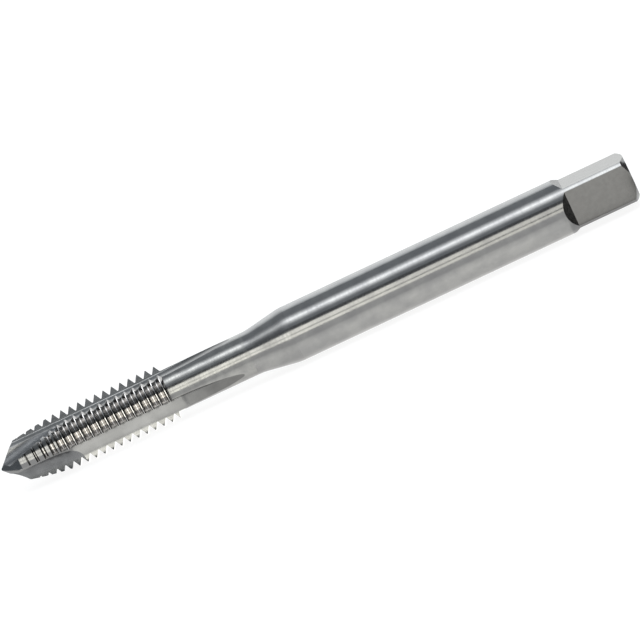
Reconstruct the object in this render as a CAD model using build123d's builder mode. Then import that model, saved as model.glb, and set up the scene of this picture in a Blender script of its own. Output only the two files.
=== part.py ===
from build123d import *
from math import acos, ceil, degrees, floor, radians, sqrt, tan
import os

# Three-flute spiral-point machine tap, M5 x 0.8 right hand, ground from one bar of
# high-speed steel. Millimetres. The tap lies along +X from its point to its driving
# square, with the origin on its axis at the point. Angles about the axis are measured
# from +Z and grow as a right-hand turn about +X, the way the thread climbs.

# Thread
thread_dia = 5.0            # nominal
thread_pitch = 0.8
thread_flank_angle = 30.0   # half of the 60 degree form
crest_allowance = 0.04      # crests stand this much above the nominal radius
root_flat = 0.08            # width of the ground bottom of the groove
thread_end = 15.85          # from the point to the last full crest
thread_back_angle = 80.0    # the neck wheel leaves a steep wall behind the last thread
groove_offset = 0.768       # a groove crosses +Z this far from the point, and every pitch on
groove_arc = 90.0           # each land's grooves are cut this far round, out into the flutes

# Point: a 90 degree centre, then the chamfer lead
tip_flat_radius = 0.08
centre_half_angle = 45.0
lead_relief = 0.035         # the lead starts this far below the thread root
lead_angle = 8.2

# Neck and shank
neck_relief = 0.015         # the neck is ground this far below the thread root
neck_end = 23.95            # from the point to the foot of the shank cone
shank_cone_angle = 9.5
cone_blend_radius = 5.0
shank_dia = 5.0
overall_length = 59.5
end_chamfer_length = 0.45
end_chamfer_depth = 0.6

# Driving square
square_flats = 3.8
square_length = 5.8         # full depth of the flats, to the end face
square_shoulder_angle = 40.0
square_angle = 0.0          # where the first flat faces

# Straight flutes, ground by a round-edged wheel that lifts out over the neck
flute_count = 3
first_flute_angle = 2.0     # a flute faces up, so the tap lies on one land
flute_core_radius = 1.35
flute_radius = 1.5
flute_end = 22.45           # from the point to where the flute leaves the neck
flute_wheel_radius = 85.0

# Spiral point: a slanting channel ground into the cutting edge of each land
channel_radius = 1.19
channel_slant = 7.1         # across the flute
channel_rise = 10.9         # outwards, towards the shank
channel_meets_flute = 8.9   # from the point to where it lines up with the flute
channel_lift = 0.2          # its centre there, above the centre of the flute
channel_overrun = 2.5       # how far the wheel goes on into the open flute

run_past = 1.0              # cutters run this far past the surfaces they cut

# Worked out from the above
flank_slope = tan(radians(thread_flank_angle))
sharp_depth = thread_pitch / 2 / flank_slope
pitch_radius = thread_dia / 2 - sharp_depth * 3 / 8
crest_radius = thread_dia / 2 + crest_allowance
root_radius = pitch_radius - (thread_pitch / 2 - root_flat) / 2 / flank_slope
lead_radius = root_radius - lead_relief
lead_start = (lead_radius - tip_flat_radius) / tan(radians(centre_half_angle))
lead_end = lead_start + (crest_radius - lead_radius) / tan(radians(lead_angle))
neck_radius = root_radius - neck_relief
neck_start = thread_end + (crest_radius - neck_radius) / tan(radians(thread_back_angle))
first_groove = lead_start + (root_radius - lead_radius) / tan(radians(lead_angle)) + thread_pitch / 8
shank_radius = shank_dia / 2
shank_start = neck_end + (shank_radius - neck_radius) / tan(radians(shank_cone_angle))
square_start = overall_length - square_length

# The flute's round-edged wheel: its centre line and where it starts to lift
flute_centre = flute_core_radius + flute_radius
wheel_lift = neck_radius - flute_core_radius
lift_start = flute_end - sqrt(flute_wheel_radius**2 - (flute_wheel_radius - wheel_lift) ** 2)
wheel_axis_height = flute_core_radius + flute_wheel_radius
lift_clear = shank_radius + run_past - flute_core_radius
lift_arc = degrees(acos(1 - lift_clear / flute_wheel_radius))


# Cutter for one flute, at +Z: straight along the thread, then lifting out round the wheel
with BuildPart() as flute_cutter:
    with BuildSketch(Plane.YZ.offset(lift_start)) as wheel_edge:
        with Locations((0, flute_centre)):
            Circle(flute_radius)
    extrude(amount=-(lift_start + run_past))
    wheel_axis = Axis((lift_start, 0, wheel_axis_height), (0, -1, 0))
    revolve(wheel_edge.sketch, axis=wheel_axis, revolution_arc=lift_arc)

# Cutter for one spiral-point channel, beside the flute at +Z: it slants out of the
# tip and lines up with the flute further back
channel_run = Vector(1, tan(radians(channel_slant)), tan(radians(channel_rise))).normalized()
channel_end = Vector(channel_meets_flute, 0, flute_centre + channel_lift)
channel_length = (channel_meets_flute + run_past) / channel_run.X
with BuildPart() as channel_cutter:
    with BuildSketch(Plane(origin=channel_end, z_dir=channel_run)):
        Circle(channel_radius)
    extrude(amount=-channel_length)
    extrude(channel_cutter.faces().sort_by(Axis.X)[-1], amount=channel_overrun)

# Cutter for one flat of the driving square, at +Z, with its slanting shoulder
flat_height = square_flats / 2
flat_clear = shank_radius + run_past
shoulder_run = (flat_clear - flat_height) / tan(radians(square_shoulder_angle))
with BuildPart() as square_cutter:
    with BuildSketch(Plane.XZ):
        with BuildLine():
            Polyline(
                (square_start, flat_height),
                (overall_length + run_past, flat_height),
                (overall_length + run_past, flat_clear),
                (square_start - shoulder_run, flat_clear),
                close=True,
            )
        make_face()
    extrude(amount=flat_clear, both=True)

# Cutter for one thread groove over one land: a short arc of the helix, centred at +Z.
# It stops just above the crests, where neighbouring grooves would meet.
root_depth = root_radius - pitch_radius
top_height = (crest_radius - pitch_radius + sharp_depth / 2) / 2
groove_advance = thread_pitch * groove_arc / 360
with BuildPart() as groove_cutter:
    with BuildLine() as groove_path:
        Helix(
            pitch=thread_pitch,
            height=groove_advance,
            radius=pitch_radius,
            center=(-groove_advance / 2, 0, 0),
            direction=(1, 0, 0),
        )
    helix = groove_path.line
    with BuildSketch(Plane(origin=helix @ 0, x_dir=(0, 0, 1), z_dir=helix % 0)):
        with BuildLine():
            Polyline(
                (root_depth, -thread_pitch / 4 - root_depth * flank_slope),
                (root_depth, thread_pitch / 4 + root_depth * flank_slope),
                (top_height, thread_pitch / 4 + top_height * flank_slope),
                (top_height, -thread_pitch / 4 - top_height * flank_slope),
                close=True,
            )
        make_face()
    sweep(path=helix, is_frenet=True)

with BuildPart() as tap:
    # Turned blank
    with BuildSketch(Plane.XY):
        with BuildLine():
            FilletPolyline(
                (0, 0),
                (0, tip_flat_radius),
                (lead_start, lead_radius),
                (lead_end, crest_radius),
                (thread_end, crest_radius),
                (neck_start, neck_radius),
                (neck_end, neck_radius),
                (shank_start, shank_radius),
                (overall_length - end_chamfer_length, shank_radius),
                (overall_length, shank_radius - end_chamfer_depth),
                (overall_length, 0),
                radius=[0, 0, 0, 0, 0, cone_blend_radius, cone_blend_radius, 0, 0],
            )
            Line((overall_length, 0), (0, 0))
        make_face()
    revolve(axis=Axis.X)

    for flute in range(flute_count):
        angle = first_flute_angle + flute * 360 / flute_count
        add(flute_cutter.part, rotation=(angle, 0, 0), mode=Mode.SUBTRACT)
        add(channel_cutter.part, rotation=(angle, 0, 0), mode=Mode.SUBTRACT)

    for side in range(4):
        add(square_cutter.part, rotation=(square_angle + side * 90, 0, 0), mode=Mode.SUBTRACT)

    # Thread, cut land by land
    for land in range(flute_count):
        angle = first_flute_angle + (land + 0.5) * 360 / flute_count
        land_offset = groove_offset + thread_pitch * angle / 360
        first = ceil((first_groove - land_offset) / thread_pitch)
        last = floor((neck_start - land_offset) / thread_pitch)
        for turn in range(first, last + 1):
            groove_x = land_offset + turn * thread_pitch
            place = Location((groove_x, 0, 0), (angle - groove_arc / 2, 0, 0))
            add(groove_cutter.part.moved(place), mode=Mode.SUBTRACT)

tap.part.label = "thread_tap"
os.makedirs("parts", exist_ok=True)
export_step(tap.part, "parts/thread_tap.step")
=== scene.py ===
import math

import bmesh
import bpy
from mathutils import Matrix, Vector


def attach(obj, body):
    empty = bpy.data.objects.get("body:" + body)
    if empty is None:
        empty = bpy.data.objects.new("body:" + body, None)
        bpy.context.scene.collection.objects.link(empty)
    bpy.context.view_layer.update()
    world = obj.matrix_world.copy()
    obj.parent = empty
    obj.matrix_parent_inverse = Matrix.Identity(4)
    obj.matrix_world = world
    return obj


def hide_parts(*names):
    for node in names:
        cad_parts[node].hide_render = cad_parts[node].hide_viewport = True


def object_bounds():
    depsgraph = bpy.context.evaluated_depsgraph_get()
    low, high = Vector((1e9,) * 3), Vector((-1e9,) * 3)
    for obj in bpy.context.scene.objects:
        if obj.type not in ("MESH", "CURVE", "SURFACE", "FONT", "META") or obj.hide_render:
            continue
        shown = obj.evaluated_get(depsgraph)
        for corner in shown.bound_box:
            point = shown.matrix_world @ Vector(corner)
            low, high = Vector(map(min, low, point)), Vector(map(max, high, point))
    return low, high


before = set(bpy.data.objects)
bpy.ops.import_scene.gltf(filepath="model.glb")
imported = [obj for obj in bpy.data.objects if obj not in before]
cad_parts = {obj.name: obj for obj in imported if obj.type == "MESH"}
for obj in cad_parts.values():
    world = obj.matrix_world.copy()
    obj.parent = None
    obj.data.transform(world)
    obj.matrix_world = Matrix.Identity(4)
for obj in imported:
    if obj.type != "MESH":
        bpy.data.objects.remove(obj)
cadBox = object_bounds()
mm = 0.001
scene = bpy.context.scene


def linear(hexColour):
    parts = [int(hexColour[i:i + 2], 16) / 255 for i in (1, 3, 5)]
    return [c / 12.92 if c <= 0.04045 else ((c + 0.055) / 1.055) ** 2.4 for c in parts] + [1.0]


# adds one node: settings are its own options, and inputs are values, or what feeds them, in
# order or by name. A node that feeds one does so from its first output.
def addNode(tree, kind, inputs=(), **settings):
    node = tree.nodes.new(kind)
    for name, value in settings.items():
        setattr(node, name, value)
    for name, value in (inputs if isinstance(inputs, dict) else dict(enumerate(inputs))).items():
        if isinstance(value, bpy.types.Node):
            value = value.outputs[0]
        if isinstance(value, bpy.types.NodeSocket):
            tree.links.new(value, node.inputs[name])
        else:
            node.inputs[name].default_value = value
    return node


# The tap in millimetres and degrees. It lies along +X from its point, and angles are measured
# from +Z as a right-hand turn about +X.
tapSizes = {
    "Pitch": 0.8,
    "Crest Radius": 2.538,
    "Root Radius": 1.963,
    "Root Flat": 0.08,
    "Groove Offset": 0.768,
    "Flank Angle": 30.0,
    "Thread End": 15.85,
    "Thread Back Angle": 80.0,
    "Tip Flat": 0.08,
    "Lead Radius": 1.928,
    "Lead Angle": 8.2,
    "Neck Radius": 1.948,
    "Neck End": 23.95,
    "Cone Angle": 9.5,
    "Cone Blend": 5.0,
    "Shank Radius": 2.5,
    "Overall Length": 59.5,
    "End Chamfer Length": 0.45,
    "End Chamfer Depth": 0.6,
    "First Flute Angle": 2.0,
    "Flute Core Radius": 1.35,
    "Flute Radius": 1.5,
    "Flute End": 22.45,
    "Heel Start Angle": 32.0,
    "Heel Face Angle": 32.0,
    "Wheel Radius": 85.0,
    "Channel Radius": 1.19,
    "Channel Slant Angle": 7.1,
    "Channel Rise Angle": 10.9,
    "Channel Meets Flute": 8.9,
    "Channel Lift": 0.2,
    "Channel Overrun": 2.5,
    "Half Flats": 1.9,
    "Square Length": 5.8,
    "Square Shoulder Angle": 40.0,
    "Run Past": 1.0,  # cutters run this far past the surfaces they cut
}
tapSizes = {name: math.radians(value) if name.endswith("Angle") else value * mm
            for name, value in tapSizes.items()}
fluteCount = 3
squareSides = 4
# the sides of the point slope at 45 degrees, so they are as long as they rise
leadStart = tapSizes["Lead Radius"] - tapSizes["Tip Flat"]
leadSlope = math.tan(tapSizes["Lead Angle"])
leadEnd = leadStart + (tapSizes["Crest Radius"] - tapSizes["Lead Radius"]) / leadSlope

# High-speed steel, hardened and then ground all over. A wheel leaves fine parallel lines, so a
# highlight stays crisp along them and smears across them, and the metal is a neutral grey.
# grain is the spacing of the lines, depth their depth and patch the width of the uneven patches,
# all in mm. Real lines are a few hundredths of a mm apart, too fine to show in a render, so they
# are drawn coarser. vary is how much the roughness changes from line to line, and streak how far
# a highlight smears.
# It is one steel all over. Its colours are painted lighter or darker from surface to surface, as
# painted highlight and painted shade, the thread and its crests much lighter, so that each surface
# looks right under these lights. Its roughness differs for the same reason.
# The flute's fade is drawn-in shading and no finish: its colour falls to this share between two
# places in mm from the point.
finishesAndShading = {
    "shankSteel": {"colour": "#888887", "other": "#7e7e7e", "roughness": 0.19, "vary": 0.05,
                   "streak": 0.8, "alongTap": False, "grain": 0.12, "depth": 0.00014, "patch": 1.4},
    "fluteSteel": {"colour": "#888887", "other": "#7c7c7b", "roughness": 0.22, "vary": 0.04,
                   "streak": 0.4, "alongTap": True, "grain": 0.14, "depth": 0.0003, "patch": 1.6,
                   "fadeFrom": 15.5, "fadeTo": 19.5, "fade": 0.55},
    "pointSteel": {"colour": "#7e7f80", "other": "#6e6f70", "roughness": 0.29, "vary": 0.05,
                   "streak": 0.4, "alongTap": True, "grain": 0.14, "depth": 0.0003, "patch": 1.2},
    "squareSteel": {"colour": "#83827f", "other": "#7e7d7a", "roughness": 0.18, "vary": 0.03,
                    "streak": 0.2, "alongTap": True, "grain": 0.25, "depth": 0.0002, "patch": 0.35},
    # painted highlight: the thread is painted much lighter than the shank
    "threadSteel": {"colour": "#c6c4c2", "other": "#bab8b6", "roughness": 0.1, "vary": 0.03,
                    "streak": 0.0, "alongTap": False, "grain": 0.2, "depth": 0.0, "patch": 1.0,
                    "tones": True},
    "neckSteel": {"colour": "#8b8b89", "other": "#7d7d7c", "roughness": 0.21, "vary": 0.06,
                  "streak": 0.7, "alongTap": False, "grain": 0.16, "depth": 0.0005, "patch": 0.8},
    "coneSteel": {"colour": "#868685", "other": "#7a7a7a", "roughness": 0.23, "vary": 0.05,
                  "streak": 0.8, "alongTap": False, "grain": 0.2, "depth": 0.0006, "patch": 1.5},
    # painted highlight: the crests are painted much lighter than the shank
    "crestSteel": {"colour": "#c0bfbd", "other": "#b4b3b1", "roughness": 0.14, "vary": 0.03,
                   "streak": 0.0, "alongTap": False, "grain": 0.2, "depth": 0.0, "patch": 1.0},
}
# how the lines and patches are drawn: each line's length in spacings, and the part of the noise
# that the tones are spread over
steelPattern = {"lineLength": 40, "lineDetail": 2.0, "lineFrom": 0.3, "lineTo": 0.7,
                "patchDetail": 3.0, "patchFrom": 0.35, "patchTo": 0.65}
# Drawn-in shading for the thread grooves, and no finish of the steel. Each tone is a share of the
# colour, by mm below the crest: dark beside it and light low down on a land's heel side, the
# other way round on its cutting side, and darker again in the bottom, by mm above the root.
# The sides are told apart by degrees from the middle of the flute.
grooveTones = {
    "darkTo": 0.1, "dark": 0.1, "shinyFrom": 0.34, "shiny": 1.0,
    "cuttingShinyTo": 0.1, "cuttingDarkFrom": 0.28, "cuttingDark": 0.78,
    "bottomTo": 0.001, "flankFrom": 0.009, "bottom": 0.7,
    "cuttingTo": 54.0, "heelFrom": 60.0,
}


def grooveTone(tree, place):
    tones = grooveTones
    inMm = addNode(tree, "ShaderNodeVectorMath", {0: place, "Scale": 1 / mm}, operation="SCALE")
    split = addNode(tree, "ShaderNodeSeparateXYZ", [inMm]).outputs
    flat = addNode(tree, "ShaderNodeVectorMath", [inMm, (0, 1, 1)], operation="MULTIPLY")
    radius = addNode(tree, "ShaderNodeVectorMath", [flat], operation="LENGTH").outputs["Value"]
    # crests are lower along the lead
    leadFoot = (tapSizes["Lead Radius"] - leadStart * leadSlope) / mm
    crest = addNode(tree, "ShaderNodeMath", [split["X"], leadSlope, leadFoot],
                    operation="MULTIPLY_ADD")
    crest = addNode(tree, "ShaderNodeMath", [crest, tapSizes["Crest Radius"] / mm],
                    operation="MINIMUM")
    below = addNode(tree, "ShaderNodeMath", [crest, radius], operation="SUBTRACT")
    heelTone = addNode(tree, "ShaderNodeMapRange", {
        "Value": below, "From Min": tones["darkTo"], "From Max": tones["shinyFrom"],
        "To Min": tones["dark"], "To Max": tones["shiny"]})
    cuttingTone = addNode(tree, "ShaderNodeMapRange", {
        "Value": below, "From Min": tones["cuttingShinyTo"], "From Max": tones["cuttingDarkFrom"],
        "To Min": tones["shiny"], "To Max": tones["cuttingDark"]})
    back = addNode(tree, "ShaderNodeMath", [split["Y"], -1.0], operation="MULTIPLY")
    angle = addNode(tree, "ShaderNodeMath", [back, split["Z"]], operation="ARCTAN2")
    angle = addNode(tree, "ShaderNodeMath", [angle, tapSizes["First Flute Angle"]],
                    operation="SUBTRACT")
    angle = addNode(tree, "ShaderNodeMath", [angle, math.tau / fluteCount, 0.0], operation="WRAP")
    side = addNode(tree, "ShaderNodeMapRange", {
        "Value": angle, "From Min": math.radians(tones["cuttingTo"]),
        "From Max": math.radians(tones["heelFrom"])})
    tone = addNode(tree, "ShaderNodeMix", {0: side, 2: cuttingTone, 3: heelTone})
    root = tapSizes["Root Radius"] / mm
    bottom = addNode(tree, "ShaderNodeMapRange", {
        "Value": radius, "From Min": root + tones["bottomTo"],
        "From Max": root + tones["flankFrom"], "To Min": tones["bottom"], "To Max": 1.0})
    return addNode(tree, "ShaderNodeMath", [tone, bottom], operation="MULTIPLY")


def groundSteel(name, look):
    pattern = steelPattern
    material = bpy.data.materials.new(name)
    material.use_nodes = True
    tree = material.node_tree
    shader = tree.nodes["Principled BSDF"]
    place = addNode(tree, "ShaderNodeTexCoord").outputs
    # the lines run round the tap, or along it
    fine = 1 / (look["grain"] * mm)
    long = 1 / (look["grain"] * pattern["lineLength"] * mm)
    stretch = (long, fine, fine) if look["alongTap"] else (fine, long, long)
    lines = addNode(tree, "ShaderNodeVectorMath", [place["Object"], stretch], operation="MULTIPLY")
    lines = addNode(tree, "ShaderNodeTexNoise", {
        "Vector": lines, "Scale": 1.0, "Detail": pattern["lineDetail"]})
    patches = addNode(tree, "ShaderNodeTexNoise", {
        "Vector": place["Object"], "Scale": 1 / (look["patch"] * mm),
        "Detail": pattern["patchDetail"]})
    patches = addNode(tree, "ShaderNodeMapRange", {
        "Value": patches, "From Min": pattern["patchFrom"], "From Max": pattern["patchTo"]})
    colour = addNode(tree, "ShaderNodeMix", {
        0: patches, 6: linear(look["colour"]), 7: linear(look["other"])},
        data_type="RGBA").outputs[2]
    roughness = addNode(tree, "ShaderNodeMapRange", {
        "Value": lines, "From Min": pattern["lineFrom"], "From Max": pattern["lineTo"],
        "To Min": look["roughness"] - look["vary"], "To Max": look["roughness"] + look["vary"]})
    if "fade" in look:
        along = addNode(tree, "ShaderNodeSeparateXYZ", [place["Object"]])
        fade = addNode(tree, "ShaderNodeMapRange", {
            "Value": along, "From Min": look["fadeFrom"] * mm, "From Max": look["fadeTo"] * mm,
            "To Min": 1.0, "To Max": look["fade"]})
        colour = addNode(tree, "ShaderNodeVectorMath", {0: colour, "Scale": fade},
                         operation="SCALE").outputs[0]
    if "tones" in look:
        tone = grooveTone(tree, place["Object"])
        colour = addNode(tree, "ShaderNodeVectorMath", {0: colour, "Scale": tone},
                         operation="SCALE").outputs[0]
    tree.links.new(colour, shader.inputs["Base Color"])
    tree.links.new(roughness.outputs[0], shader.inputs["Roughness"])
    if look["depth"]:
        bump = addNode(tree, "ShaderNodeBump", {"Height": lines, "Distance": look["depth"] * mm})
        tree.links.new(bump.outputs[0], shader.inputs["Normal"])
    shader.inputs["Metallic"].default_value = 1.0
    if look["streak"]:
        shader.inputs["Anisotropic"].default_value = look["streak"]
        # in turns: the highlight smears across the lines
        shader.inputs["Anisotropic Rotation"].default_value = 0.0 if look["alongTap"] else 0.25
        around = addNode(tree, "ShaderNodeVectorMath", [(1, 0, 0), place["Normal"]],
                         operation="CROSS_PRODUCT")
        around = addNode(tree, "ShaderNodeVectorTransform", [around], vector_type="VECTOR",
                         convert_from="OBJECT", convert_to="WORLD")
        tree.links.new(around.outputs[0], shader.inputs["Tangent"])
    return material


steels = [groundSteel(name, look) for name, look in finishesAndShading.items()]
finishAndShadingNumber = {name: number for number, name in enumerate(finishesAndShading)}
print("steel mixed", len(steels))

# how finely each surface is divided, and how many turns the thread has
meshSteps = {"roundBlank": 192, "alongBlend": 8, "roundFlute": 128, "alongFlute": 60,
             "roundChannel": 96, "threadTurns": 21, "roundThread": 96}
pathStep = 0.5 * mm
firstTurn = 1  # of the thread, counted from the point
blankWeld, tapWeld = 0.001 * mm, 0.0002 * mm  # corners closer than this are merged

# the cone's two ends are rounded, over this length on either side of each corner
blendReach = tapSizes["Cone Blend"] * math.tan(tapSizes["Cone Angle"] / 2)
coneRise = tapSizes["Shank Radius"] - tapSizes["Neck Radius"]
coneFoot = tapSizes["Neck End"] - blendReach
coneTop = tapSizes["Neck End"] + coneRise / math.tan(tapSizes["Cone Angle"]) + blendReach


# the bar as turned, before anything is ground into it
def turnedBlank():
    size = tapSizes
    crest, neck, shank, length = (size[name] for name in (
        "Crest Radius", "Neck Radius", "Shank Radius", "Overall Length"))
    neckStart = size["Thread End"] + (crest - neck) / math.tan(size["Thread Back Angle"])
    profile = [(0, 0), (0, size["Tip Flat"]), (leadStart, size["Lead Radius"]), (leadEnd, crest),
               (size["Thread End"], crest), (neckStart, neck)]
    steps, blend = meshSteps["alongBlend"], size["Cone Blend"]
    turns = [step / steps * size["Cone Angle"] for step in range(steps + 1)]
    profile += [(coneFoot + blend * math.sin(turn), neck + blend * (1 - math.cos(turn)))
                for turn in turns]
    profile += [(coneTop - blend * math.sin(turn), shank - blend * (1 - math.cos(turn)))
                for turn in reversed(turns)]
    profile += [(length - size["End Chamfer Length"], shank),
                (length, shank - size["End Chamfer Depth"]), (length, 0)]
    bm = bmesh.new()
    verts = [bm.verts.new((x, 0, r)) for x, r in profile]
    edges = [bm.edges.new(pair) for pair in zip(verts, verts[1:])]
    bmesh.ops.spin(bm, geom=verts + edges, axis=(1, 0, 0), angle=math.tau,
                   steps=meshSteps["roundBlank"])
    bmesh.ops.remove_doubles(bm, verts=bm.verts, dist=blankWeld)
    bmesh.ops.recalc_face_normals(bm, faces=bm.faces)
    mesh = bpy.data.meshes.new("tapBody")
    bm.to_mesh(mesh)
    bm.free()
    mesh.materials.append(steels[0])
    return mesh


blankMesh = turnedBlank()
print("blank turned", len(blankMesh.polygons))


# the inputs of the tree that grinds the tap, worked out from its sizes
def grindingSizes():
    size = tapSizes
    runPast = size["Run Past"]
    core, edge, wheel = size["Flute Core Radius"], size["Flute Radius"], size["Wheel Radius"]
    rise = size["Neck Radius"] - core
    liftRun = math.sqrt(wheel ** 2 - (wheel - rise) ** 2)

    # the channel's centre line meets the flute's plane at Channel Meets Flute
    def onChannel(x):
        past = x - size["Channel Meets Flute"]
        return (x, past * math.tan(size["Channel Slant Angle"]),
                core + edge + size["Channel Lift"] + past * math.tan(size["Channel Rise Angle"]))

    flats, length = size["Half Flats"], size["Square Length"]
    outside = size["Shank Radius"] + runPast
    shoulder = (outside - flats) / math.tan(size["Square Shoulder Angle"])
    slope = math.tan(size["Flank Angle"])
    # where neighbouring grooves would meet, above the root
    meeting = (size["Pitch"] - size["Root Flat"]) / 2 / slope
    return {
        "First Flute Angle": size["First Flute Angle"],
        "Flute Radius": edge,
        "Flute Centre": core + edge,
        "Flute Path Radius": wheel - edge,
        "Flute Lift Start": size["Flute End"] - liftRun,
        "Heel Depth": edge * math.cos(size["Heel Start Angle"]),
        "Heel Across": edge * math.sin(size["Heel Start Angle"]),
        "Heel Slope": math.tan(size["Heel Face Angle"]),
        "Channel Radius": size["Channel Radius"],
        "Channel Start": onChannel(-runPast),
        "Channel Finish": onChannel(size["Channel Meets Flute"] + size["Channel Overrun"]),
        "Block Size": (length + runPast, outside, outside - flats),
        "Block Place": (size["Overall Length"] - (length - runPast) / 2, 0.0,
                        (outside + flats) / 2),
        "Block Shoulder": (-shoulder, 0.0, 0.0),
        "Pitch": size["Pitch"],
        "Groove Offset": size["Groove Offset"],
        "Root Radius": size["Root Radius"],
        "Half Root Flat": size["Root Flat"] / 2,
        "Flank Slope": slope,
        # halfway from the crest to where the grooves would meet
        "Groove Top": (meeting + size["Crest Radius"] - size["Root Radius"]) / 2,
        "Lead End": leadEnd,
        "Thread End": size["Thread End"],
        "Cone Foot": coneFoot,
        "Cone Top": coneTop,
    }


# grinds the flutes, the spiral point, the square and the thread out of the blank, and gives
# each ground surface its own finish and painted shading, numbered as in the dictionary of finishes
# and painted shading
def tapTree(sizes):
    tree = bpy.data.node_groups.new("groundTap", "GeometryNodeTree")
    tree.interface.new_socket("Blank", in_out="INPUT", socket_type="NodeSocketGeometry")
    for name, value in sizes.items():
        kind = "NodeSocketVector" if isinstance(value, tuple) else "NodeSocketFloat"
        tree.interface.new_socket(name, in_out="INPUT", socket_type=kind)
    tree.interface.new_socket("Tap", in_out="OUTPUT", socket_type="NodeSocketGeometry")
    given = addNode(tree, "NodeGroupInput").outputs

    # copies set evenly about the tap's axis
    def turned(geometry, count, firstAngle):
        spots = addNode(tree, "GeometryNodeMeshLine", {"Count": count, "Offset": (0, 0, 0)})
        index = addNode(tree, "GeometryNodeInputIndex")
        angle = addNode(tree, "ShaderNodeMath", [index, math.tau / count, firstAngle],
                        operation="MULTIPLY_ADD")
        turn = addNode(tree, "ShaderNodeCombineXYZ", {"X": angle})
        turn = addNode(tree, "FunctionNodeEulerToRotation", {"Euler": turn})
        copies = addNode(tree, "GeometryNodeInstanceOnPoints", {
            "Points": spots, "Instance": geometry, "Rotation": turn})
        return addNode(tree, "GeometryNodeRealizeInstances", [copies])

    position = addNode(tree, "GeometryNodeInputPosition")
    where = addNode(tree, "ShaderNodeSeparateXYZ", [position]).outputs

    # flute: a round wheel edge drawn along a line that lifts out over the neck
    past = addNode(tree, "ShaderNodeMath", [where["X"], given["Flute Lift Start"]],
                   operation="SUBTRACT")
    past = addNode(tree, "ShaderNodeMath", [past, 0.0], operation="MAXIMUM")
    pathRadius = given["Flute Path Radius"]
    pastSquared = addNode(tree, "ShaderNodeMath", [past, 2.0], operation="POWER")
    radiusSquared = addNode(tree, "ShaderNodeMath", [pathRadius, 2.0], operation="POWER")
    drop = addNode(tree, "ShaderNodeMath", [radiusSquared, pastSquared], operation="SUBTRACT")
    drop = addNode(tree, "ShaderNodeMath", [drop], operation="SQRT")
    lift = addNode(tree, "ShaderNodeMath", [pathRadius, drop], operation="SUBTRACT")
    height = addNode(tree, "ShaderNodeMath", [given["Flute Centre"], lift], operation="ADD")
    onPath = addNode(tree, "ShaderNodeCombineXYZ", {"X": where["X"], "Z": height})
    line = addNode(tree, "GeometryNodeMeshLine", {
        "Count": meshSteps["alongFlute"], "Start Location": (-tapSizes["Run Past"], 0, 0),
        "Offset": (pathStep, 0, 0)})
    line = addNode(tree, "GeometryNodeSetPosition", {"Geometry": line, "Position": onPath})
    path = addNode(tree, "GeometryNodeMeshToCurve", [line])
    wheel = addNode(tree, "GeometryNodeCurvePrimitiveCircle", {
        "Resolution": meshSteps["roundFlute"], "Radius": given["Flute Radius"]})

    # up the heel of each land the wheel's outline leaves the circle for a straight line
    onHeelSide = addNode(tree, "ShaderNodeMath", [where["X"], 0.0], operation="LESS_THAN")
    aboveHeel = addNode(tree, "ShaderNodeMath", [where["Y"], given["Heel Depth"]],
                        operation="LESS_THAN")
    isHeel = addNode(tree, "ShaderNodeMath", [onHeelSide, aboveHeel], operation="MULTIPLY")
    above = addNode(tree, "ShaderNodeMath", [given["Heel Depth"], where["Y"]], operation="SUBTRACT")
    heelRun = addNode(tree, "ShaderNodeMath", [above, given["Heel Slope"]], operation="MULTIPLY")
    heelLine = addNode(tree, "ShaderNodeMath", [given["Heel Across"], heelRun], operation="ADD")
    heelLine = addNode(tree, "ShaderNodeMath", [heelLine, -1.0], operation="MULTIPLY")
    shift = addNode(tree, "ShaderNodeMath", [heelLine, where["X"]], operation="SUBTRACT")
    across = addNode(tree, "ShaderNodeMath", [isHeel, shift, where["X"]], operation="MULTIPLY_ADD")
    onWheel = addNode(tree, "ShaderNodeCombineXYZ", {"X": across, "Y": where["Y"]})
    wheel = addNode(tree, "GeometryNodeSetPosition", {"Geometry": wheel, "Position": onWheel})
    flute = addNode(tree, "GeometryNodeCurveToMesh", {
        "Curve": path, "Profile Curve": wheel, "Fill Caps": True})
    flutes = turned(flute, fluteCount, given["First Flute Angle"])

    # spiral point: a slanting round channel that starts ahead of the tip and runs out in the flute
    line = addNode(tree, "GeometryNodeCurvePrimitiveLine", {
        "Start": given["Channel Start"], "End": given["Channel Finish"]})
    wheel = addNode(tree, "GeometryNodeCurvePrimitiveCircle", {
        "Resolution": meshSteps["roundChannel"], "Radius": given["Channel Radius"]})
    channel = addNode(tree, "GeometryNodeCurveToMesh", {
        "Curve": line, "Profile Curve": wheel, "Fill Caps": True})
    channels = turned(channel, fluteCount, given["First Flute Angle"])

    # driving square: one block with a slanting front, turned to four sides
    block = addNode(tree, "GeometryNodeMeshCube", {"Size": given["Block Size"]})
    isFront = addNode(tree, "ShaderNodeMath", [where["X"], 0.0], operation="LESS_THAN")
    isTop = addNode(tree, "ShaderNodeMath", [where["Z"], 0.0], operation="GREATER_THAN")
    isFrontTop = addNode(tree, "ShaderNodeMath", [isFront, isTop], operation="MULTIPLY")
    offset = addNode(tree, "ShaderNodeVectorMath", [
        isFrontTop, given["Block Shoulder"], given["Block Place"]], operation="MULTIPLY_ADD")
    block = addNode(tree, "GeometryNodeSetPosition", {"Geometry": block, "Offset": offset})
    flats = turned(block, squareSides, 0.0)

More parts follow.
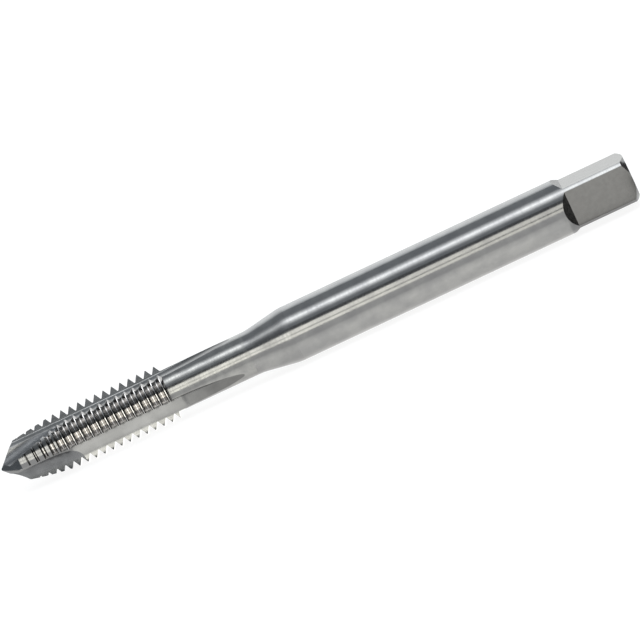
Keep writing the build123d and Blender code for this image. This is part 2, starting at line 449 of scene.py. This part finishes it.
    # thread: a four-sided bar, one unit long for each turn, wound into the helical groove
    turns = meshSteps["threadTurns"]
    bar = addNode(tree, "GeometryNodeMeshCylinder", {
        "Vertices": 4, "Side Segments": turns * meshSteps["roundThread"], "Radius": 1.0,
        "Depth": float(turns)})
    isTop = addNode(tree, "ShaderNodeMath", [where["X"], where["Y"]], operation="ADD")
    isTop = addNode(tree, "ShaderNodeMath", [isTop, 0.0], operation="GREATER_THAN")
    side = addNode(tree, "ShaderNodeMath", [where["X"], where["Y"]], operation="GREATER_THAN")
    side = addNode(tree, "ShaderNodeMath", [side, 2.0, -1.0], operation="MULTIPLY_ADD")
    above = addNode(tree, "ShaderNodeMath", [given["Groove Top"], isTop], operation="MULTIPLY")
    radius = addNode(tree, "ShaderNodeMath", [given["Root Radius"], above], operation="ADD")
    halfWidth = addNode(tree, "ShaderNodeMath", [
        above, given["Flank Slope"], given["Half Root Flat"]], operation="MULTIPLY_ADD")
    turn = addNode(tree, "ShaderNodeMath", [where["Z"], turns / 2 + firstTurn], operation="ADD")
    alongX = addNode(tree, "ShaderNodeMath", [side, halfWidth, given["Groove Offset"]],
                     operation="MULTIPLY_ADD")
    alongX = addNode(tree, "ShaderNodeMath", [turn, given["Pitch"], alongX],
                     operation="MULTIPLY_ADD")
    angle = addNode(tree, "ShaderNodeMath", [turn, math.tau], operation="MULTIPLY")
    onBar = addNode(tree, "ShaderNodeCombineXYZ", {"X": alongX, "Z": radius})
    onGroove = addNode(tree, "ShaderNodeVectorRotate", {"Vector": onBar, "Angle": angle},
                       rotation_type="X_AXIS")
    groove = addNode(tree, "GeometryNodeSetPosition", {"Geometry": bar, "Position": onGroove})

    # the turned surface is point, crest, neck, cone or shank, told apart by where each ends, and
    # the point is finished as the shank is
    number = finishAndShadingNumber["shankSteel"]
    for place, name in (("Lead End", "crestSteel"), ("Thread End", "neckSteel"),
                        ("Cone Foot", "coneSteel"), ("Cone Top", "shankSteel")):
        isBehind = addNode(tree, "ShaderNodeMath", [where["X"], given[place]],
                           operation="GREATER_THAN")
        number = addNode(tree, "GeometryNodeSwitch", {
            "Switch": isBehind, "False": number, "True": finishAndShadingNumber[name]}, input_type="INT")
    tap = addNode(tree, "GeometryNodeStoreNamedAttribute", {
        "Geometry": given["Blank"], "Name": "surface", "Value": number},
        data_type="INT", domain="FACE")
    # each cutter leaves the number of its finish and painted shading on the surface that it grinds
    for cutter, name in ((flats, "squareSteel"), (flutes, "fluteSteel"), (channels, "pointSteel"),
                         (groove, "threadSteel")):
        cutter = addNode(tree, "GeometryNodeStoreNamedAttribute", {
            "Geometry": cutter, "Name": "surface", "Value": finishAndShadingNumber[name]},
            data_type="INT", domain="FACE")
        tap = addNode(tree, "GeometryNodeMeshBoolean", {"Mesh 1": tap, "Mesh 2": cutter},
                      operation="DIFFERENCE", solver="MANIFOLD")
    tap = addNode(tree, "GeometryNodeMergeByDistance", {"Geometry": tap, "Distance": tapWeld})
    tap = addNode(tree, "GeometryNodeRealizeInstances", [tap])
    surface = addNode(tree, "GeometryNodeInputNamedAttribute", {"Name": "surface"}, data_type="INT")
    for number, steel in enumerate(steels):
        isIt = addNode(tree, "FunctionNodeCompare", {2: surface, 3: number},
                       data_type="INT", operation="EQUAL")
        tap = addNode(tree, "GeometryNodeSetMaterial", {
            "Geometry": tap, "Selection": isIt, "Material": steel})
    addNode(tree, "NodeGroupOutput", [tap])
    return tree


tapObject = bpy.data.objects.new("tapBody", blankMesh)
scene.collection.objects.link(tapObject)
modifier = tapObject.modifiers.new("groundTap", "NODES")
treeSizes = grindingSizes()
modifier.node_group = tapTree(treeSizes)
for item in modifier.node_group.interface.items_tree:
    if item.in_out == "INPUT" and item.name in treeSizes:
        modifier[item.identifier] = treeSizes[item.name]
bpy.context.view_layer.update()
graph = bpy.context.evaluated_depsgraph_get()
tapMesh = bpy.data.meshes.new_from_object(tapObject.evaluated_get(graph))
tapObject.modifiers.clear()
tapObject.data = tapMesh
print("tap ground", len(tapMesh.polygons), [steel.name for steel in tapMesh.materials])


# where two ground surfaces meet, the edge is left sharp
def sharpenEdges(mesh, smallestAngle=20):
    runsOn = {finishAndShadingNumber[name] for name in ("shankSteel", "neckSteel", "coneSteel", "crestSteel")}
    surface = [item.value for item in mesh.attributes["surface"].data]
    bm = bmesh.new()
    bm.from_mesh(mesh)
    for face in bm.faces:
        face.smooth = True
    for edge in bm.edges:
        meeting = {surface[face.index] for face in edge.link_faces}
        # the turned surfaces run into each other
        changes = len(meeting) > 1 and not meeting <= runsOn
        edge.smooth = not changes and edge.calc_face_angle() < math.radians(smallestAngle)
    bm.to_mesh(mesh)
    bm.free()


sharpenEdges(tapMesh)
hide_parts("thread_tap")
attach(tapObject, "root")
print("edges sharpened")

# a pale floor that glows a little, so the ground under the tap is an even white
floorSettings = {"half": 4.0, "colour": "#808080", "glow": 0.86, "roughness": 0.9}
floorZ, half = cadBox[0][2], floorSettings["half"]
floorMesh = bpy.data.meshes.new("floor")
floorMesh.from_pydata([(-half, -half, floorZ), (half, -half, floorZ), (half, half, floorZ),
                       (-half, half, floorZ)], [], [(0, 1, 2, 3)])
floor = bpy.data.objects.new("floor", floorMesh)
scene.collection.objects.link(floor)
paleFloor = bpy.data.materials.new("paleFloor")
paleFloor.use_nodes = True
paint = paleFloor.node_tree.nodes["Principled BSDF"].inputs
paint["Base Color"].default_value = linear(floorSettings["colour"])
paint["Emission Color"].default_value = (1, 1, 1, 1)
paint["Emission Strength"].default_value = floorSettings["glow"]
paint["Roughness"].default_value = floorSettings["roughness"]
paint["Specular IOR Level"].default_value = 0.0
floorMesh.materials.append(paleFloor)

# The camera looks down on the tap from the side, and is rolled so the tap lies across the frame.
# Places are metres, and turn and roll degrees.
cameraSettings = {"lens": 311.0, "sensor": 36.0, "clipStart": 0.005, "distance": 0.473,
                  "standX": 0.047, "aimX": 0.0302, "turn": 74.4, "roll": 25.14,
                  "shiftX": -0.0004, "shiftY": 0.0009}
along = Vector((1, 0, 0))


def outwards(degreesRound):
    angle = math.radians(degreesRound)
    return Vector((0, -math.sin(angle), math.cos(angle)))


stand = (along * cameraSettings["standX"]
         + outwards(cameraSettings["turn"]) * cameraSettings["distance"])
toCamera = (stand - along * cameraSettings["aimX"]).normalized()
level = (along - toCamera * along.dot(toCamera)).normalized()
imageUp = toCamera.cross(level)
roll = math.radians(cameraSettings["roll"])
right = level * math.cos(roll) - imageUp * math.sin(roll)
up = level * math.sin(roll) + imageUp * math.cos(roll)
camera = bpy.data.objects.new("camera", bpy.data.cameras.new("camera"))
scene.collection.objects.link(camera)
camera.data.lens = cameraSettings["lens"]
camera.data.sensor_width = cameraSettings["sensor"]
camera.data.clip_start = cameraSettings["clipStart"]
camera.data.shift_x, camera.data.shift_y = cameraSettings["shiftX"], cameraSettings["shiftY"]
camera.matrix_world = (Matrix.Translation(stand)
                       @ Matrix((right, up, toCamera)).transposed().to_4x4())
scene.camera = camera

# Soft panels hung about the tap, facing its axis, in metres. turn is where, in degrees from
# straight above, aside a shift across that, and softAcross how much the edges fade.
lights = {
    "overheadStrip": {"turn": 18.0, "distance": 0.5, "aside": 0.0, "fromX": -0.055, "toX": 0.8,
                      "width": 0.41, "glow": 4.3, "softAcross": 1.8, "colour": "#fbfdff"},
    "overheadFront": {"turn": 18.0, "distance": 0.5, "aside": 0.0, "fromX": -0.35, "toX": -0.125,
                      "width": 0.41, "glow": 2.1, "softAcross": 1.8, "colour": "#fbfdff"},
    "overheadFill": {"turn": -4.0, "distance": 0.9, "aside": 0.0, "fromX": -0.35, "toX": 0.7,
                     "width": 2.3, "glow": 0.36, "softAcross": 0.0, "colour": "#eef6ff"},
    "upperPanel": {"turn": 68.3, "distance": 0.6, "aside": 0.0, "fromX": -0.28, "toX": 0.5,
                   "width": 0.157, "glow": 1.6, "softAcross": 0.0, "colour": "#fffdf6"},
    "lowerPanel": {"turn": 87.7, "distance": 0.6, "aside": 0.0, "fromX": -0.28, "toX": 0.5,
                   "width": 0.157, "glow": 1.65, "softAcross": 0.0, "colour": "#fffdf4"},
    "sidePanel": {"turn": 78.3, "distance": 0.59, "aside": 0.0, "fromX": -0.28, "toX": 0.006,
                  "width": 0.34, "glow": 2.1, "softAcross": 0.0, "colour": "#fffdf4"},
    "backdrop": {"turn": -63.0, "distance": 0.8, "aside": 0.0, "fromX": -2.0, "toX": 1.05,
                 "width": 0.82, "glow": 1.7, "softAcross": 0.35, "colour": "#fcfeff"},
    "shankTable": {"turn": 180.0, "distance": 0.0025, "aside": 0.0036, "fromX": 0.0168,
                   "toX": 0.053, "width": 0.008, "glow": 0.72, "softAcross": 0.6,
                   "colour": "#fffef8"},
    "threadTable": {"turn": 180.0, "distance": 0.0025, "aside": 0.002, "fromX": 0.0062,
                    "toX": 0.0165, "width": 0.012, "glow": 1.1, "softAcross": 0.6,
                    "colour": "#fffef8"},
}


def hangLight(name, light):
    lamp = bpy.data.lights.new(name, "AREA")
    lamp.shape = "RECTANGLE"
    lamp.size, lamp.size_y = light["toX"] - light["fromX"], light["width"]
    # an area light's energy that makes its face this bright
    lamp.energy = light["glow"] * math.pi * lamp.size * lamp.size_y
    lamp.color = linear(light["colour"])[:3]
    if light["softAcross"]:
        # a softbox is brightest along its middle
        lamp.use_nodes = True
        tree = lamp.node_tree
        place = addNode(tree, "ShaderNodeNewGeometry").outputs["Parametric"]
        across = addNode(tree, "ShaderNodeSeparateXYZ", [place]).outputs["Y"]
        gap = addNode(tree, "ShaderNodeMath", [across, 0.5], operation="SUBTRACT")
        gap = addNode(tree, "ShaderNodeMath", [gap], operation="ABSOLUTE")
        inside = addNode(tree, "ShaderNodeMath", [gap, -2.0, 1.0], operation="MULTIPLY_ADD")
        strength = addNode(tree, "ShaderNodeMath", [inside, light["softAcross"]], operation="POWER")
        tree.links.new(strength.outputs[0], tree.nodes["Emission"].inputs["Strength"])
    hung = bpy.data.objects.new(name, lamp)
    scene.collection.objects.link(hung)
    away, side = outwards(light["turn"]), outwards(light["turn"] - 90)
    middle = along * (light["fromX"] + light["toX"]) / 2 + side * light["aside"]
    hung.matrix_world = (Matrix.Translation(middle + away * light["distance"])
                         @ Matrix((along, side, away)).transposed().to_4x4())
    hung.visible_camera = False


for name, light in lights.items():
    hangLight(name, light)

# small cards off the ends of the tap, glowing dimly and seen only in its reflections: one upright
# ahead of the point, and two flat, just above the floor, beside and behind the square. The flat
# ones are painted shade: dark sheets standing in for shade on the floor there, which darken the
# square's shoulder and near flat in reflection.
cards = {
    "frontCard": {"from": (-0.004, -0.009, 0), "to": (-0.004, 0.009, 0.005),
                  "colour": (0.24, 0.27, 0.3, 1)},
    "backCard": {"from": (0.0595, -0.012, 0.00003), "to": (0.084, -0.0024, 0.00003),
                 "colour": (0.06, 0.06, 0.062, 1)},
    "shoulderCard": {"from": (0.0535, -0.005, 0.00003), "to": (0.0595, -0.0022, 0.00003),
                     "colour": (0.04, 0.04, 0.042, 1)},
}
for name, card in cards.items():
    mesh = bpy.data.meshes.new(name)
    low, high = card["from"], card["to"]
    isUpright = low[0] == high[0]
    corners = [low, (high[0], high[1] if isUpright else low[1], low[2]),
               high, (low[0], low[1] if isUpright else high[1], high[2])]
    mesh.from_pydata([(x, y, floorZ + z) for x, y, z in corners], [], [(0, 1, 2, 3)])
    dull = bpy.data.materials.new(name)
    dull.use_nodes = True
    paint = dull.node_tree.nodes["Principled BSDF"].inputs
    paint["Base Color"].default_value = (0, 0, 0, 1)
    paint["Specular IOR Level"].default_value = 0.0
    paint["Emission Color"].default_value = card["colour"]
    paint["Emission Strength"].default_value = 1.0
    mesh.materials.append(dull)
    stood = bpy.data.objects.new(name, mesh)
    scene.collection.objects.link(stood)
    stood.visible_camera = stood.visible_diffuse = stood.visible_shadow = False

# the room is darker behind the driving square than in front of the point: darkensFrom and
# darkensTo are the directions between which it changes, where 1 is straight along the tap
room = {"frontColour": (0.25, 0.27, 0.29, 1), "backColour": (0.06, 0.06, 0.065, 1),
        "darkensFrom": -0.3, "darkensTo": 0.6}
scene.world = bpy.data.worlds.new("studio")
scene.world.use_nodes = True
tree = scene.world.node_tree
towards = addNode(tree, "ShaderNodeTexCoord").outputs["Object"]
towards = addNode(tree, "ShaderNodeSeparateXYZ", [towards]).outputs["X"]
share = addNode(tree, "ShaderNodeMapRange", {
    "Value": towards, "From Min": room["darkensFrom"], "From Max": room["darkensTo"]})
wall = addNode(tree, "ShaderNodeMix", {0: share, 6: room["frontColour"], 7: room["backColour"]},
               data_type="RGBA").outputs[2]
tree.links.new(wall, tree.nodes["Background"].inputs["Color"])
scene.view_settings.view_transform = "Standard"
print("studio lit", len(lights))
